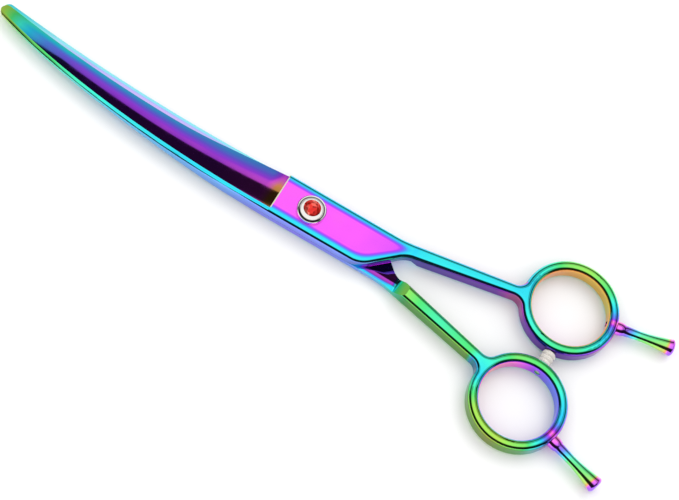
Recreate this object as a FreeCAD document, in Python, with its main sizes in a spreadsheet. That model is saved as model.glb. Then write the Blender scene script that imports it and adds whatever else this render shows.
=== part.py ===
import FreeCAD, Part
import os
import re

import Sketcher

# Curved grooming shears, closed on their bumper and lying on their back.
# +X runs from the pivot to the finger rings, +Y to the ring of the front half,
# +Z up through the pivot.  z = 0 is the back face of the rear half, so the rear
# plate's outer face and the undersides of both handles lie in that plane.

DOC = FreeCAD.newDocument("shears")
SHEET = DOC.addObject("Spreadsheet::Sheet", "sheet")


# ------------------------------------------------------------ driving dimensions

SIZES = [
    # pivot plates
    ("plate_thickness", 2.75, "one half's plate, from its ride face to its outer face"),
    ("ride_gap", 0.06, "running gap between the two ride faces"),
    ("plate_half_width", 6.7, "pivot axis to each long side of a plate, at the step"),
    ("plate_lean", 0.02, "rise of a plate's long sides towards +Y, per mm along X"),
    ("flute_start", 10.0, "pivot axis to the step down to the blade"),
    ("shoulder_x", 18.8, "pivot axis to the corner where a plate starts to narrow"),
    ("crotch_x", 28.8, "pivot axis to the corner where a plate meets its shank"),
    ("shoulder_radius", 8.0, "round of the shoulder corner"),
    ("crotch_radius", 7.0, "round of the crotch corner"),
    ("shank_bend_x", 26.0, "pivot axis to the bend of the outer side into the shank"),
    ("shank_bend_radius", 30.0, "round of that bend"),
    ("step_x", 30.2, "pivot axis to where a shank starts to grow to its full depth"),
    ("ramp_length", 3.6, "length over which it grows"),
    ("edge_round", 1.42, "round on the outer edges of plates, shanks and rings"),
    ("round_share", 0.475, "most that the round takes of a ring's wall"),
    # shanks
    ("front_end_y", 14.6, "X axis to the front shank's outer side, inside the ring's wall"),
    ("rear_end_y", 13.4, "X axis to the rear shank's outer side, inside the ring's wall"),
    ("shank_width", 4.4, "shank width beside the plate, along Y"),
    ("shank_end_width", 3.3, "shank width at the ring, along Y"),
    # finger rings
    ("ring_x", 74.3, "pivot axis to both ring centres, along X"),
    ("ring_y", 16.0, "X axis to each ring centre"),
    ("finger_hole", 21.9, "finger hole diameter"),
    ("ring_wall", 3.0, "wall of a ring"),
    ("ring_blend", 3.0, "round where a shank meets its ring"),
    # blades
    ("blade_length", 102.0, "pivot axis to the tips"),
    ("curve_length", 102.0, "blade length that the curves below are drawn for"),
    ("spine_straight", 20.0, "where the front spine starts to curve"),
    ("spine_radius", 350.0, "curve of the front spine"),
    ("spine_turn", 80.0, "where the front spine curves more tightly"),
    ("spine_tip_radius", 150.0, "curve of the front spine by the tip"),
    ("edge_bend_start", 32.0, "where the front cutting edge starts to bend"),
    ("edge_low_x", 47.0, "where the front cutting edge is nearest the X axis"),
    ("edge_low_y", 3.5, "front cutting edge there"),
    ("edge_bend_radius", 150.0, "bend of the front cutting edge"),
    ("edge_radius", 390.0, "curve of the front cutting edge beyond the bend"),
    ("rear_spine_low_x", 46.0, "where the rear spine is nearest the X axis"),
    ("rear_spine_low_y", 5.4, "rear spine there"),
    ("rear_spine_radius", 556.0, "curve of the rear spine beyond that"),
    ("spine_inset", 0.13, "rear spine inside the plate's side at the step"),
    ("edge_cover", 0.3, "rear cutting edge inside the front spine at the tip"),
    ("nose", 1.6, "length of the rounded tip"),
    ("ridge_root", 2.7, "height of the ridge at the step"),
    ("ridge_tip", 1.15, "height of the ridge at the tip"),
    ("bevel_root", 1.3, "width of the spine bevel at the step"),
    ("bevel_tip", 0.7, "width of the spine bevel at the tip"),
    ("drop_root", 0.35, "fall of the spine bevel at the step"),
    ("drop_tip", 0.25, "fall of the spine bevel at the tip"),
    ("break_root", 0.32, "broken corner between the spine bevel and the wall, at the step"),
    ("break_tip", 0.14, "broken corner between the spine bevel and the wall, at the tip"),
    ("hollow_root", 0.45, "hollow of the flute at the step"),
    ("hollow_tip", 0.05, "hollow of the flute at the tip"),
    ("edge_land", 0.4, "blade thickness at the cutting edge"),
    ("back_land", 2.2, "rear blade's thickness at its cutting edge by the step"),
    ("run_out", 40.0, "length over which the rear blade thins to its cutting edge"),
    # pivot, from the back: bolt, washers, nut, jewel
    ("bolt_diameter", 4.4, "round of the bolt that the front half turns on"),
    ("bolt_clearance", 0.04, "radial running fit on the bolt"),
    ("head_diameter", 8.4, "bolt's flat head, sunk in the rear plate"),
    ("head_depth", 0.9, "depth of the head"),
    ("head_clearance", 0.1, "gap around the head"),
    ("key_margin", 0.8, "square neck under the head, across its flats, over the bolt's round"),
    ("key_clearance", 0.03, "gap on each flat of the neck"),
    ("thread_diameter", 3.0, "thread for the tension nut"),
    ("thread_height", 1.2, "thread above the front plate"),
    ("glide_diameter", 9.0, "glide washer"),
    ("glide_thickness", 0.5, "glide washer"),
    ("glide_clearance", 0.1, "radial gap around the glide washer and inside it"),
    ("glide_play", 0.02, "gap between the glide washer and the front half"),
    ("spring_diameter", 6.6, "spring washer"),
    ("spring_thickness", 0.35, "spring washer"),
    ("spring_clearance", 0.1, "radial gap around the spring washer and inside it"),
    ("spring_play", 0.1, "how far the spring washer lies below the front plate"),
    ("nut_diameter", 8.2, "tension nut"),
    ("nut_rim", 1.2, "straight rim of the nut"),
    ("nut_height", 2.05, "nut above the plate"),
    ("nut_gap", 0.08, "gap under the nut's rim"),
    ("nut_bulge", 0.18, "bulge of the nut's dome"),
    ("crown_width", 0.25, "flat rim around the jewel"),
    ("thread_room", 0.1, "room over the end of the thread"),
    ("jewel_diameter", 4.9, "jewel"),
    ("jewel_seat", 0.6, "depth of the jewel's seat"),
    ("jewel_rise", 0.7, "jewel above its seat's rim"),
    ("jewel_clearance", 0.02, "radial gap around the jewel"),
    ("table_share", 0.58, "jewel's flat table, as a share of its width"),
    # bumper and finger rests
    ("bumper_diameter", 4.0, "bumper over its ribs"),
    ("bumper_groove", 0.35, "depth of the grooves between the ribs"),
    ("bumper_stem", 1.8, "stem through the rear ring's wall"),
    ("bumper_gap", 0.12, "room between the closed bumper and the front ring"),
    ("bumper_angle", 86, "bumper around the rear ring, from +X towards +Y"),
    ("front_rest_angle", 12.3, "front finger rest, from +X towards +Y"),
    ("rear_rest_angle", 16.5, "rear finger rest, from +X towards -Y"),
    ("rest_length", 16.9, "finger rest outside its ring"),
    ("rest_collar", 3.8, "finger rest at its collar"),
    ("rest_waist", 2.7, "finger rest at its waist"),
    ("rest_end", 4.8, "finger rest at its end"),
    ("stud_diameter", 1.8, "threaded stud in the ring's wall"),
    ("stem_recess", 0.4, "end of a stud or stem, short of the finger hole"),
    ("seat_depth", 0.25, "flat seat cut into a ring's outside"),
    ("seat_clearance", 0.05, "gap around what sits in a seat"),
]
ALIASES = {alias for alias, value, meaning in SIZES}

for row, (alias, value, meaning) in enumerate(SIZES, start=1):
    SHEET.set(f"A{row}", meaning)
    SHEET.set(f"B{row}", str(value))
    SHEET.setAlias(f"B{row}", alias)
DOC.recompute()


# ------------------------------------------------------------ helpers

def value_of(expression):
    """The number that an expression over the sheet's aliases has now."""
    result = SHEET.evalExpression(str(expression))
    return float(getattr(result, "Value", result))


def bound(expression):
    """The same expression, as another object has to write it."""
    return re.sub(
        "[a-z_]+",
        lambda word: f"sheet.{word.group()}" if word.group() in ALIASES else word.group(),
        str(expression))


def origin_plane(body, role):
    return [item for item in body.Origin.OriginFeatures if item.Role == role][0]


def new_body(label):
    body = DOC.addObject("PartDesign::Body", label)
    body.Label = label
    return body


def new_sketch(body, name, role="XY_Plane", raised=0):
    """A sketch on one of the body's own origin planes, raised by an expression."""
    sketch = body.newObject("Sketcher::SketchObject", name)
    sketch.AttachmentSupport = [(origin_plane(body, role), "")]
    sketch.MapMode = "FlatFace"
    sketch.setExpression(".AttachmentOffset.Base.z", bound(raised))
    return sketch


def vector(point):
    return FreeCAD.Vector(value_of(point[0]), value_of(point[1]), 0)


def bind(sketch, kind, expression, *where):
    """Add a dimension and bind it to an expression."""
    index = sketch.addConstraint(Sketcher.Constraint(kind, *where, value_of(expression)))
    sketch.setExpression(f"Constraints[{index}]", bound(expression))


def fix_point(sketch, geometry, end, point):
    """Hold a point at two expressions, measured from the sketch's origin."""
    bind(sketch, "DistanceX", point[0], -1, 1, geometry, end)
    bind(sketch, "DistanceY", point[1], -1, 1, geometry, end)


def outline(sketch, steps):
    """A closed outline.  Each step is a corner, and for an arc to the next corner
    also a point that the arc passes through."""
    ends = []
    for number, step in enumerate(steps):
        start = vector(step[0])
        finish = vector(steps[(number + 1) % len(steps)][0])
        if len(step) == 1:
            index = sketch.addGeometry(Part.LineSegment(start, finish), False)
            ends.append((index, 1, 2))
        else:
            index = sketch.addGeometry(Part.Arc(start, vector(step[1]), finish), False)
            forward = sketch.getPoint(index, 1).distanceToPoint(start) < 1e-5
            ends.append((index, 1, 2) if forward else (index, 2, 1))
    for number, step in enumerate(steps):
        index, start_end, finish_end = ends[number]
        after = ends[(number + 1) % len(steps)]
        fix_point(sketch, index, start_end, step[0])
        sketch.addConstraint(Sketcher.Constraint("Coincident", index, finish_end, after[0], after[1]))
        if len(step) == 2:
            helper = sketch.addGeometry(Part.Point(vector(step[1])), True)
            fix_point(sketch, helper, 1, step[1])
            sketch.addConstraint(Sketcher.Constraint("PointOnObject", helper, 1, index))
    return ends


def round_corner(sketch, line, radius):
    """Round the corner at the end of a straight side of an outline."""
    sketch.fillet(line[0], line[2], value_of(radius), True, True)
    arcs = [number for number, curve in enumerate(sketch.Geometry)
            if curve.TypeId == "Part::GeomArcOfCircle"]
    bind(sketch, "Radius", radius, arcs[-1])


def circle(sketch, centre, diameter):
    index = sketch.addGeometry(
        Part.Circle(vector(centre), FreeCAD.Vector(0, 0, 1), value_of(diameter) / 2), False)
    fix_point(sketch, index, 3, centre)
    bind(sketch, "Diameter", diameter, index)


def finish(body, feature):
    DOC.recompute()
    if feature.Shape.isNull() or not feature.Shape.isValid():
        raise RuntimeError(f"{body.Label}: {feature.Name} failed")
    return feature


def pad(body, sketch, length, downward=False):
    feature = body.newObject("PartDesign::Pad", sketch.Name + "_pad")
    feature.Profile = sketch
    feature.setExpression("Length", bound(length))
    feature.Reversed = downward
    feature.Refine = True
    return finish(body, feature)


def cut(body, kind, sketch, **settings):
    """A Pocket, Groove or SubtractiveLoft, which has to take some metal away."""
    before = body.Shape.Volume
    feature = body.newObject(f"PartDesign::{kind}", f"{sketch.Name}_cut")
    feature.Profile = sketch
    for name, setting in settings.items():
        if name == "Length":
            feature.setExpression(name, bound(setting))
        else:
            setattr(feature, name, setting)
    finish(body, feature)
    if body.Shape.Volume > before - 1e-4:
        raise RuntimeError(f"{body.Label}: {sketch.Name} cuts nothing")
    return feature


def round_edges(body, name, radius, wanted):
    base = body.Tip
    names = [f"Edge{i}" for i, edge in enumerate(base.Shape.Edges, start=1) if wanted(edge)]
    if not names:
        raise RuntimeError(f"{body.Label}: {name} finds no edge")
    feature = body.newObject("PartDesign::Fillet", name)
    feature.Base = (base, names)
    feature.setExpression("Radius", bound(radius))
    return finish(body, feature)


def turn(body, sketch, profile, axis="V_Axis", kind="Revolution"):
    """Turn a closed profile about one of its sketch's own axes."""
    outline(sketch, [step if isinstance(step[0], tuple) else (step,) for step in profile])
    before = body.Shape.Volume if body.Tip else 0
    feature = body.newObject(f"PartDesign::{kind}", sketch.Name + "_turned")
    feature.Profile = sketch
    feature.ReferenceAxis = (sketch, [axis])
    feature.Angle = 360
    finish(body, feature)
    if kind == "Groove" and body.Shape.Volume > before - 1e-4:
        raise RuntimeError(f"{body.Label}: {sketch.Name} cuts nothing")
    return feature


def upright_sketch(body, name):
    """A sketch of (radius, height) about the pivot axis."""
    return new_sketch(body, name, "XZ_Plane")


def radial_sketch(body, name, ring_side, angle):
    """A sketch of (distance from a ring's centre, radius) along one of its radii."""
    sketch = new_sketch(body, name, "XY_Plane", f"{STACK} / 2")
    sketch.setExpression(".AttachmentOffset.Base.x", bound("ring_x"))
    sketch.setExpression(".AttachmentOffset.Base.y", bound(f"{ring_side} * ring_y"))
    sketch.AttachmentOffset = FreeCAD.Placement(
        sketch.AttachmentOffset.Base, FreeCAD.Rotation(FreeCAD.Vector(0, 0, 1), value_of(angle)))
    sketch.setExpression(".AttachmentOffset.Rotation.Angle", bound(angle))
    return sketch


def square(sketch, side):
    half_side = f"({side} / 2)"
    outline(sketch, [((x, y),) for x, y in (
        (f"-{half_side}", f"-{half_side}"), (half_side, f"-{half_side}"),
        (half_side, half_side), (f"-{half_side}", half_side))])


# ------------------------------------------------------------ levels and curves

REAR_FACE = "plate_thickness"
SHANK_END = "(ring_x - finger_hole / 2)"
FRONT_FACE = "(plate_thickness + ride_gap)"
STACK = "(2 * plate_thickness + ride_gap)"


def arc_rise(distance, radius):
    """How far an arc has left its tangent after a distance along it."""
    return f"({radius} - sqrt({radius} ^ 2 - ({distance}) ^ 2))"


# The curves keep their rise when the blades get longer: their stations stretch with
# the blade, and their radii with its square.
STRETCH = "(blade_length / curve_length)"
SPINE_STRAIGHT = f"(spine_straight * {STRETCH})"
SPINE_TURN = f"(spine_turn * {STRETCH})"
EDGE_BEND = f"(edge_bend_start * {STRETCH})"
EDGE_LOW = f"(edge_low_x * {STRETCH})"
REAR_LOW = f"(rear_spine_low_x * {STRETCH})"


def curve(radius):
    """A curve's radius for blades of the present length."""
    return f"({radius} * {STRETCH} ^ 2)"


def front_spine_y(x):
    """Front half's spine at a distance x towards the tip."""
    if value_of(x) <= value_of(SPINE_STRAIGHT):
        return "(-plate_half_width)"
    radius = curve("spine_radius")
    if value_of(x) <= value_of(SPINE_TURN):
        return f"(-plate_half_width + {arc_rise(f'{x} - {SPINE_STRAIGHT}', radius)})"
    reach = f"({SPINE_TURN} - {SPINE_STRAIGHT})"
    slope = f"({reach} / sqrt({radius} ^ 2 - {reach} ^ 2))"
    past = f"({x} - {SPINE_TURN})"
    return (f"(-plate_half_width + {arc_rise(reach, radius)} + {slope} * {past}"
            f" + {arc_rise(past, curve('spine_tip_radius'))})")


def front_edge_y(x):
    """Front half's cutting edge at a distance x towards the tip."""
    bend_radius = curve("edge_bend_radius")
    bend_y = f"(edge_low_y + {arc_rise(f'{EDGE_LOW} - {EDGE_BEND}', bend_radius)})"
    if value_of(x) >= value_of(EDGE_LOW):
        return f"(edge_low_y + {arc_rise(f'{x} - {EDGE_LOW}', curve('edge_radius'))})"
    if value_of(x) >= value_of(EDGE_BEND):
        return f"(edge_low_y + {arc_rise(f'{EDGE_LOW} - {x}', bend_radius)})"
    share = f"(({EDGE_BEND} - {x}) / ({EDGE_BEND} - flute_start))"
    return f"({bend_y} + (plate_half_width - {bend_y}) * {share})"


def rear_spine_y(x):
    """Rear half's spine, which starts just inside the plate's corner."""
    if value_of(x) >= value_of(REAR_LOW):
        return f"(rear_spine_low_y + {arc_rise(f'{x} - {REAR_LOW}', curve('rear_spine_radius'))})"
    reach = f"({REAR_LOW} - flute_start)"
    rise = "(plate_half_width - spine_inset - rear_spine_low_y)"
    radius = f"(({reach} ^ 2 + {rise} ^ 2) / (2 * {rise}))"
    return f"(rear_spine_low_y + {arc_rise(f'{REAR_LOW} - {x}', radius)})"


def rear_edge_y(x):
    """Rear half's cutting edge: the front spine's line, drawn in towards the tip."""
    share = f"(({x} - flute_start) / (blade_length - flute_start))"
    return f"({front_spine_y(x)} + edge_cover * {share})"


def front_land(x):
    return "edge_land"


def rear_land(x):
    """Thickness at the rear cutting edge, which thins away from the step."""
    left = f"max(0; 1 - ({x} - flute_start) / (run_out * {STRETCH}))"
    return f"(edge_land + (back_land - edge_land) * {left})"


# ------------------------------------------------------------ the two halves

HALVES = {
    "front_half": {
        "face": FRONT_FACE, "up": 1, "end_y": "front_end_y",
        "spine": front_spine_y, "edge": front_edge_y, "land": front_land},
    "rear_half": {
        "face": REAR_FACE, "up": -1, "end_y": "rear_end_y",
        "spine": rear_spine_y, "edge": rear_edge_y, "land": rear_land},
}


def blade_outline(sketch, half):
    """Spine, rounded tip and cutting edge, closed across the plate."""
    spine = half["spine"]
    edge = half["edge"]
    tip = "(blade_length - nose)"
    start = "flute_start"

    def at(curve, x):
        return (f"-({x})", curve(x))

    def arc(curve, x0, x1):
        return (at(curve, x0), at(curve, f"(({x0} + {x1}) / 2)"))

    nose = ("-blade_length", f"(({spine(tip)} + {edge(tip)}) / 2)")
    if half["up"] > 0:
        steps = [
            (at(spine, start),),
            arc(spine, SPINE_STRAIGHT, SPINE_TURN),
            arc(spine, SPINE_TURN, tip),
            (at(spine, tip), nose),
            arc(edge, tip, EDGE_LOW),
            arc(edge, EDGE_LOW, EDGE_BEND),
            (at(edge, EDGE_BEND),),
            (at(edge, start),),
        ]
    else:
        steps = [
            (at(edge, start),),
            arc(edge, SPINE_STRAIGHT, SPINE_TURN),
            arc(edge, SPINE_TURN, tip),
            (at(edge, tip), nose),
            arc(spine, tip, REAR_LOW),
            arc(spine, REAR_LOW, start),
            (at(spine, start),),
        ]
    outline(sketch, steps)


def plate_side(half, x, side):
    """A plate's long side at x: side 1 is the one that runs on into the shank."""
    return f"({side} * plate_half_width + {half['up']} * plate_lean * ({x} + flute_start))"


def shank_sides(half, x):
    """Outer and inner side of a shank at a distance x from the pivot."""
    share = f"(({x} - shank_bend_x) / ({SHANK_END} - shank_bend_x))"
    root = plate_side(half, "shank_bend_x", 1)
    outer = f"({root} + ({half['end_y']} - {root}) * {share})"
    width = f"(shank_width + (shank_end_width - shank_width) * {share})"
    return outer, f"({outer} - {width})"


def plate_outline(sketch, half):
    """The plate and the root of its shank, ending inside the full-depth shank."""
    far = "(step_x + shank_width)"
    outer, inner = shank_sides(half, far)
    rows = [
        ("-flute_start", "-plate_half_width"),
        ("shoulder_x", plate_side(half, "shoulder_x", -1)),
        ("crotch_x", shank_sides(half, "crotch_x")[1]),
        (far, inner),
        (far, outer),
        ("shank_bend_x", plate_side(half, "shank_bend_x", 1)),
        ("-flute_start", "plate_half_width"),
    ]
    return outline(sketch, [((x, f"{half['up']} * {y}"),) for x, y in rows])


def shank_outline(sketch, half):
    """The full-depth shank, run on into its ring's wall."""
    outer, inner = shank_sides(half, "step_x")
    end_outer, end_inner = shank_sides(half, SHANK_END)
    rows = [("step_x", inner), (SHANK_END, end_inner), (SHANK_END, end_outer), ("step_x", outer)]
    outline(sketch, [((x, f"{half['up']} * {y}"),) for x, y in rows])


def ramp_outline(sketch, half):
    """What is cut away under the start of a full-depth shank, seen from the side."""
    up = half["up"]
    outer_level = "0" if up > 0 else STACK
    slope = f"(ramp_length / {REAR_FACE})"
    outline(sketch, [
        (("step_x", half["face"]),),
        ((f"(step_x + ramp_length + {slope})", f"({outer_level} - {up})"),),
        (("(step_x - 1)", f"({outer_level} - {up})"),),
        (("(step_x - 1)", f"({half['face']} - {up})"),),
    ])


def flute_section(body, half, number, station):
    """What is ground off the blade, as a section across it."""
    up = half["up"]
    share = f"(({station} - flute_start) / (blade_length - flute_start))"

    def along(name):
        return f"({name}_root + ({name}_tip - {name}_root) * {share})"

    spine = half["spine"](station)
    edge = half["edge"](station)
    ridge_y = f"({spine} + {up} * {along('bevel')})"
    ridge_z = f"({half['face']} + {up} * {along('ridge')})"
    bevel_z = f"({half['face']} + {up} * ({along('ridge')} - {along('drop')}))"
    edge_z = f"({half['face']} + {up} * {half['land'](station)})"
    clear_z = f"({half['face']} + {up} * (plate_thickness + 1))"
    hollow = (f"(({ridge_y} + {edge}) / 2)",
              f"(({ridge_z} + {edge_z}) / 2 - {up} * {along('hollow')})")
    sketch = new_sketch(body, f"flute_{number}", "YZ_Plane", f"-({station})")
    outline(sketch, [
        ((f"({spine} - {up})", f"({bevel_z} - {up} * ({along('break')} + 1))"),),
        ((f"({spine} + {up} * {along('break')})", bevel_z),),
        ((ridge_y, ridge_z), hollow),
        ((edge, edge_z),),
        ((f"({edge} + {up} * 2)", edge_z),),
        ((f"({edge} + {up} * 2)", clear_z),),
        ((f"({spine} - {up})", clear_z),),
    ])
    return sketch


def on_level(edge, level):
    """Whether an edge lies flat at a height."""
    return all(abs(vertex.Z - value_of(level)) < 1e-4 for vertex in edge.Vertexes)


def make_half(label):
    half = HALVES[label]
    up = half["up"]
    tag = label.split("_")[0]
    body = new_body(label)

    sketch = new_sketch(body, f"{tag}_plate", "XY_Plane", half["face"])
    lines = plate_outline(sketch, half)
    round_corner(sketch, lines[0], "shoulder_radius")
    round_corner(sketch, lines[1], "crotch_radius")
    round_corner(sketch, lines[4], "shank_bend_radius")
    pad(body, sketch, "plate_thickness", up < 0)

    sketch = new_sketch(body, f"{tag}_blade", "XY_Plane", half["face"])
    blade_outline(sketch, half)
    pad(body, sketch, "plate_thickness", up < 0)

    sketch = new_sketch(body, f"{tag}_shank")
    shank_outline(sketch, half)
    pad(body, sketch, STACK)

    ring_centre = ("ring_x", f"{up} * ring_y")
    ring_radius = "(finger_hole / 2 + ring_wall)"
    sketch = new_sketch(body, f"{tag}_ring")
    circle(sketch, ring_centre, f"2 * {ring_radius}")
    pad(body, sketch, STACK)
    sketch = new_sketch(body, f"{tag}_finger_hole")
    circle(sketch, ring_centre, "finger_hole")
    cut(body, "Pocket", sketch, Length=STACK, Reversed=True)

    axis = vector(ring_centre)

    def shank_corner(edge):
        ends = [FreeCAD.Vector(vertex.X, vertex.Y, 0) for vertex in edge.Vertexes]
        upright = len(ends) == 2 and ends[0].distanceToPoint(ends[1]) < 1e-4
        return upright and abs(ends[0].distanceToPoint(axis) - value_of(ring_radius)) < 1e-3

    def outer_edge(edge):
        level = on_level(edge, 0) or on_level(edge, STACK)
        middle = edge.CenterOfMass
        across = abs(middle.x - value_of("step_x")) < 1e-3
        return level and not across

    round_edges(body, f"{tag}_ring_blend", "ring_blend", shank_corner)
    round_edges(body, f"{tag}_outer_round", "min(edge_round; round_share * ring_wall)", outer_edge)
    sketch = new_sketch(body, f"{tag}_ramp", "XZ_Plane")
    ramp_outline(sketch, half)
    cut(body, "Pocket", sketch, Length="(4 * ring_y)", Midplane=True)

    stations = ["flute_start", f"(flute_start + {SPINE_STRAIGHT})", "(blade_length / 2)",
                SPINE_TURN, "(blade_length - nose)", "(blade_length + 2)"]
    sections = [flute_section(body, half, number, station)
                for number, station in enumerate(stations)]
    cut(body, "SubtractiveLoft", sections[0], Sections=sections[1:], Ruled=False)
    return body


# ------------------------------------------------------------ pivot

KEY_SIDE = "(bolt_diameter + key_margin)"
GLIDE_FLOOR = f"({FRONT_FACE} - glide_play - glide_thickness)"
SPRING_FLOOR = f"({STACK} - spring_thickness - spring_play)"
NUT_FLOOR = f"({STACK} + nut_gap)"
NUT_TOP = f"({NUT_FLOOR} + nut_height)"


def bore_rear_plate(body):
    """Recess for the bolt's head, square hole for its neck, recess for the glide washer."""
    sketch = upright_sketch(body, "head_recess")
    head = "(head_diameter / 2 + head_clearance)"
    turn(body, sketch, [("0", "0"), (head, "0"), (head, "head_depth"), ("0", "head_depth")],
         kind="Groove")
    sketch = new_sketch(body, "neck_hole")
    square(sketch, f"({KEY_SIDE} + 2 * key_clearance)")
    cut(body, "Pocket", sketch, Length="plate_thickness", Reversed=True)
    sketch = upright_sketch(body, "glide_recess")
    glide = "(glide_diameter / 2 + glide_clearance)"
    turn(body, sketch, [("0", GLIDE_FLOOR), (glide, GLIDE_FLOOR), (glide, REAR_FACE),
                        ("0", REAR_FACE)], kind="Groove")


def bore_front_plate(body):
    """Running bore for the bolt and recess for the spring washer."""
    sketch = upright_sketch(body, "bolt_bore")
    bore = "(bolt_diameter / 2 + bolt_clearance)"
    recess = "(spring_diameter / 2 + spring_clearance)"
    turn(body, sketch, [("0", FRONT_FACE), (bore, FRONT_FACE), (bore, SPRING_FLOOR),
                        (recess, SPRING_FLOOR), (recess, STACK), ("0", STACK)], kind="Groove")


def make_pivot_bolt():
    body = new_body("pivot_bolt")
    head = "(head_diameter / 2)"
    shank = "(bolt_diameter / 2)"
    thread = "(thread_diameter / 2)"
    thread_top = f"({STACK} + thread_height)"
    turn(body, upright_sketch(body, "bolt"), [
        ("0", "0"), (head, "0"), (head, "head_depth"), (shank, "head_depth"),
        (shank, f"({SPRING_FLOOR} - ride_gap)"), (thread, f"({SPRING_FLOOR} - ride_gap)"),
        (thread, thread_top), ("0", thread_top)])
    sketch = new_sketch(body, "neck", raised="head_depth")
    square(sketch, KEY_SIDE)
    pad(body, sketch, f"{GLIDE_FLOOR} - head_depth")


def make_washer(label, floor, thickness, outside, inside):
    body = new_body(label)
    turn(body, upright_sketch(body, label + "_ring"), [
        (inside, floor), (outside, floor), (outside, f"({floor} + {thickness})"),
        (inside, f"({floor} + {thickness})")])


def make_tension_nut():
    """A domed nut whose boss presses on the spring washer, with a seat for the jewel."""
    body = new_body("tension_nut")
    boss = "(spring_diameter / 2 - spring_clearance)"
    bore = "(thread_diameter / 2 + bolt_clearance)"
    rim = "(nut_diameter / 2)"
    seat = "(jewel_diameter / 2)"
    boss_floor = f"({SPRING_FLOOR} + spring_thickness + spring_play / 2)"
    rim_top = f"({NUT_FLOOR} + nut_rim)"
    crown = f"({seat} + crown_width)"
    shoulder = (f"(({rim} + {crown}) / 2 + nut_bulge)", f"(({rim_top} + {NUT_TOP}) / 2 + nut_bulge)")
    bore_top = f"({STACK} + thread_height + thread_room)"
    turn(body, upright_sketch(body, "nut"), [
        (bore, boss_floor), (boss, boss_floor), (boss, NUT_FLOOR), (rim, NUT_FLOOR),
        ((rim, rim_top), shoulder),
        (crown, NUT_TOP), (seat, NUT_TOP), (seat, f"({NUT_TOP} - jewel_seat)"),
        ("0", f"({NUT_TOP} - jewel_seat)"), ("0", bore_top), (bore, bore_top)])


def make_jewel():
    """A round girdle under an eight-sided crown with a flat table."""
    body = new_body("jewel")
    girdle = "(jewel_diameter / 2 - jewel_clearance)"
    floor = f"({NUT_TOP} - jewel_seat)"
    turn(body, upright_sketch(body, "girdle"), [
        ("0", floor), (girdle, floor), (girdle, NUT_TOP), ("0", NUT_TOP)])
    rings = []
    for name, radius, height in (("crown_base", girdle, NUT_TOP),
                                 ("table", f"({girdle} * table_share)", f"({NUT_TOP} + jewel_rise)")):
        sketch = new_sketch(body, name, raised=height)
        outline(sketch, [((f"({radius} * cos({45 * side} deg))", f"({radius} * sin({45 * side} deg))"),)
                         for side in range(8)])
        rings.append(sketch)
    loft = body.newObject("PartDesign::AdditiveLoft", "crown")
    loft.Profile = rings[0]
    loft.Sections = rings[1:]
    loft.Ruled = True
    finish(body, loft)


# ------------------------------------------------------------ bumper and finger rests

RING_OUTSIDE = "(finger_hole / 2 + ring_wall)"
BUMPER_LENGTH = f"(2 * (ring_y - {RING_OUTSIDE}) + seat_depth - bumper_gap)"
RESTS = {
    "finger_rest_front": ("front_half", 1, "front_rest_angle"),
    "finger_rest_rear": ("rear_half", -1, "-rear_rest_angle"),
}


def bore_ring_wall(body, name, ring_side, angle, seat_diameter, hole_diameter):
    """A hole through a ring's wall along a radius, with a flat seat outside."""
    seat_floor = f"({RING_OUTSIDE} - seat_depth)"
    seat = f"({seat_diameter} / 2 + seat_clearance)"
    hole = f"({hole_diameter} / 2)"
    outside = f"({RING_OUTSIDE} + 1)"
    inside = "(finger_hole / 2 - 1)"
    turn(body, radial_sketch(body, name, ring_side, angle), [
        (inside, "0"), (outside, "0"), (outside, seat), (seat_floor, seat), (seat_floor, hole),
        (inside, hole)], "H_Axis", "Groove")


def make_bumper():
    """Three soft ribs and a rounded nose on a stem that the rear ring's wall holds."""
    body = new_body("bumper")
    base = f"({RING_OUTSIDE} - seat_depth)"
    stem_end = "(finger_hole / 2 + stem_recess)"
    stem = "(bumper_stem / 2)"
    rib = "(bumper_diameter / 2)"
    neck = f"({rib} - bumper_groove)"
    profile = [(stem_end, "0"), (stem_end, stem), (base, stem)]
    ribs = 3
    pitch = f"({BUMPER_LENGTH} / {ribs})"
    for number in range(ribs):
        start = f"({base} + {pitch} * {number})"
        profile.append(((start, neck), (f"({start} + {pitch} / 2)", rib)))
    profile.append((f"({base} + {BUMPER_LENGTH})", neck))
    profile.append((f"({base} + {BUMPER_LENGTH})", "0"))
    turn(body, radial_sketch(body, "bumper_profile", -1, "bumper_angle"), profile, "H_Axis")


def make_finger_rest(label, ring_side, angle):
    """A turned rest: collar, bead, waist and flared end, on a stud in the ring's wall."""
    body = new_body(label)
    base = f"({RING_OUTSIDE} - seat_depth)"
    stud_end = "(finger_hole / 2 + stem_recess)"
    end = f"({RING_OUTSIDE} + rest_length)"

    def at(share):
        return f"({base} + ({end} - {base}) * {share})"

    collar = "(rest_collar / 2)"
    waist = "(rest_waist / 2)"
    flare = "(rest_end / 2)"
    stud = "(stud_diameter / 2)"
    profile = [
        (stud_end, "0"), (stud_end, stud), (base, stud), (base, collar),
        ((at(0.07), collar), (at(0.12), f"({collar} * 0.93)")),
        ((at(0.16), f"({collar} * 0.8)"), (at(0.3), f"({waist} * 1.03)")),
        ((at(0.42), waist), (at(0.62), f"({waist} * 1.13)")),
        ((at(0.78), f"({waist} * 1.38)"), (at(0.88), f"({flare} * 0.88)")),
        ((at(0.96), flare), (at(0.99), f"({flare} * 0.8)")),
        (at(1), f"({flare} * 0.55)"), (at(1), "0"),
    ]
    turn(body, radial_sketch(body, label + "_profile", ring_side, angle), profile, "H_Axis")


# ------------------------------------------------------------ build and write

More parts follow.
